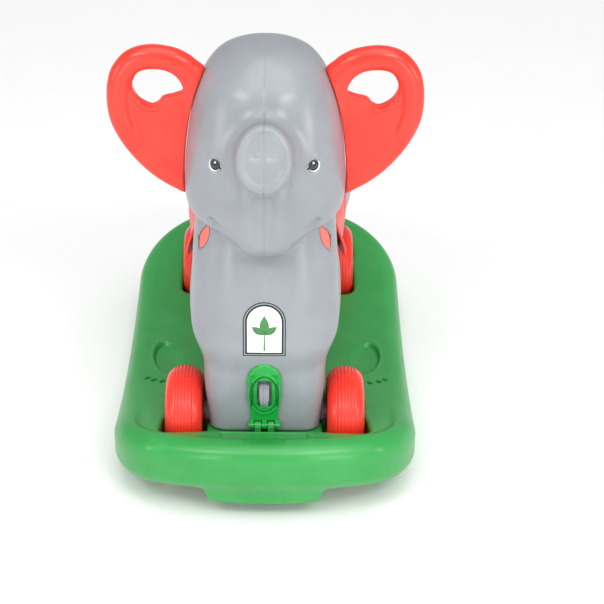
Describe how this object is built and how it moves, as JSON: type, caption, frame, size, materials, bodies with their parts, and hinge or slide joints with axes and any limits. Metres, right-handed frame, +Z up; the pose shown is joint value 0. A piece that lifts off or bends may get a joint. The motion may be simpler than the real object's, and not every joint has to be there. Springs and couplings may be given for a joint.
{
  "type": "rocking elephant",
  "caption": "Child's ride-on elephant on wheels with ear handles and a saddle, latched into a curved rocker base.",
  "frame": {"origin": "on the floor at the middle of the rocking face, midway between the two axles and on the centre plane", "axes": "+Z up, -Y the way the elephant faces, +X to the right of someone looking at its face"},
  "size_m": [0.39, 0.64, 0.588],
  "materials": {
    "green_base": "satin moulded polyethylene",
    "green_latch": "satin moulded polypropylene",
    "grey_body": "satin blow-moulded polyethylene",
    "red_trim": "satin blow-moulded polyethylene",
    "red_wheel": "satin blow-moulded polyethylene",
    "pale_plastic": "satin moulded polypropylene",
    "steel": "zinc plated",
    "label": "printed film",
    "eye": "printed film"
  },
  "bodies": {
    "rocker": {"rocker_base": "green_base", "latch_hinge_pin": "steel", "elephant_body": "grey_body", "ear_handle_left": "red_trim", "ear_handle_right": "red_trim", "saddle": "red_trim", "saddle_screws": "steel", "neck_insert_left": "red_trim", "neck_insert_right": "red_trim", "chest_label": "label", "eye_decal_left": "eye", "eye_decal_right": "eye", "front_axle": "steel", "rear_axle": "steel", "wheel_spacer_front_left": "pale_plastic", "wheel_spacer_front_right": "pale_plastic", "wheel_spacer_rear_left": "pale_plastic", "wheel_spacer_rear_right": "pale_plastic", "axle_cap_front_left": "steel", "axle_cap_front_right": "steel", "axle_cap_rear_left": "steel", "axle_cap_rear_right": "steel"},
    "front_left_wheel": {"wheel_front_left": "red_wheel"},
    "front_right_wheel": {"wheel_front_right": "red_wheel"},
    "rear_left_wheel": {"wheel_rear_left": "red_wheel"},
    "rear_right_wheel": {"wheel_rear_right": "red_wheel"},
    "latch": {"latch": "green_latch"},
    "knob": {"lock_knob": "pale_plastic", "knob_clip": "steel"}
  },
  "joints": [
    {"name": "front_left_wheel_spin", "type": "hinge", "parent": "rocker", "child": "front_left_wheel", "pos_m": [-0.1045, -0.1935, 0.088], "axis": [1, 0, 0], "continuous": true},
    {"name": "front_right_wheel_spin", "type": "hinge", "parent": "rocker", "child": "front_right_wheel", "pos_m": [0.1045, -0.1935, 0.088], "axis": [1, 0, 0], "continuous": true},
    {"name": "rear_left_wheel_spin", "type": "hinge", "parent": "rocker", "child": "rear_left_wheel", "pos_m": [-0.1045, 0.1935, 0.088], "axis": [1, 0, 0], "continuous": true},
    {"name": "rear_right_wheel_spin", "type": "hinge", "parent": "rocker", "child": "rear_right_wheel", "pos_m": [0.1045, 0.1935, 0.088], "axis": [1, 0, 0], "continuous": true},
    {"name": "latch_swing", "type": "hinge", "parent": "rocker", "child": "latch", "pos_m": [0, -0.248, 0.1055], "axis": [1, 0, 0], "range_deg": [0, 75]},
    {"name": "knob_turn", "type": "hinge", "parent": "rocker", "child": "knob", "pos_m": [0, -0.25, 0.154], "axis": [0, 1, 0], "range_deg": [0, 90]}
  ]
}
